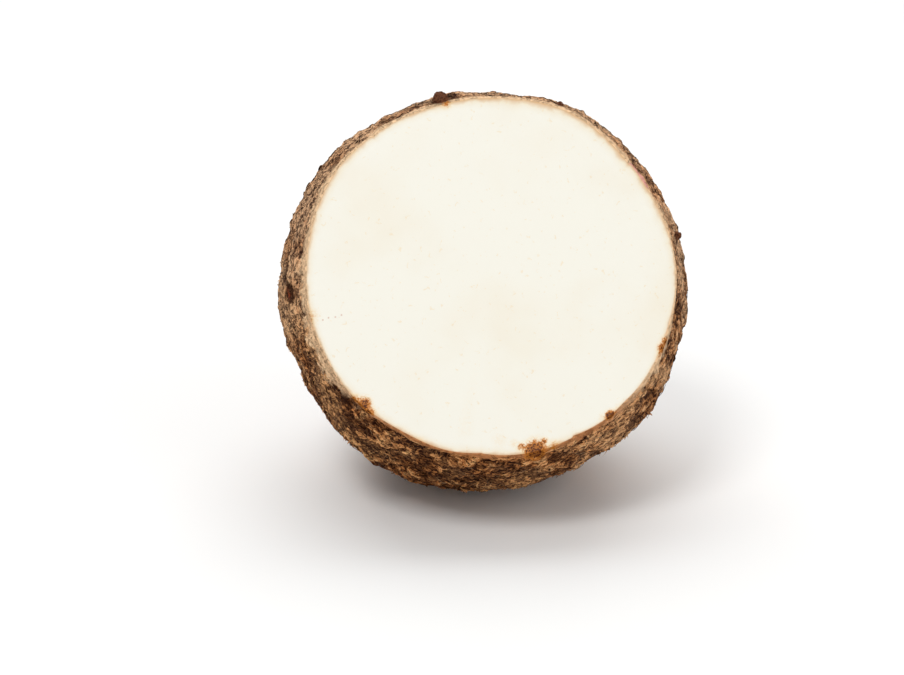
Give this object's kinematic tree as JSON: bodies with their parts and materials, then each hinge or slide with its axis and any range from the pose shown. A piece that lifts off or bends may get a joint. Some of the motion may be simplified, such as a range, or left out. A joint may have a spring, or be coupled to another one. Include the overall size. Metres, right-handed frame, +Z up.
{
  "type": "taro root",
  "caption": "Taro root cut straight across below its crown, lying on its side: round white cut face, rough brown skin with ring scars and broken root stubs.",
  "frame": {"origin": "on the small flat spot that the corm rests on, under its centre of mass", "axes": "+Z up; -Y towards the cut face, which looks 29.5 degrees up from level; +X to the right when facing the cut"},
  "size_m": [0.121, 0.1145, 0.1206],
  "materials": {
    "skin": "rough, matte"
  },
  "bodies": {
    "root": {"taro_root": "skin"}
  },
  "joints": []
}
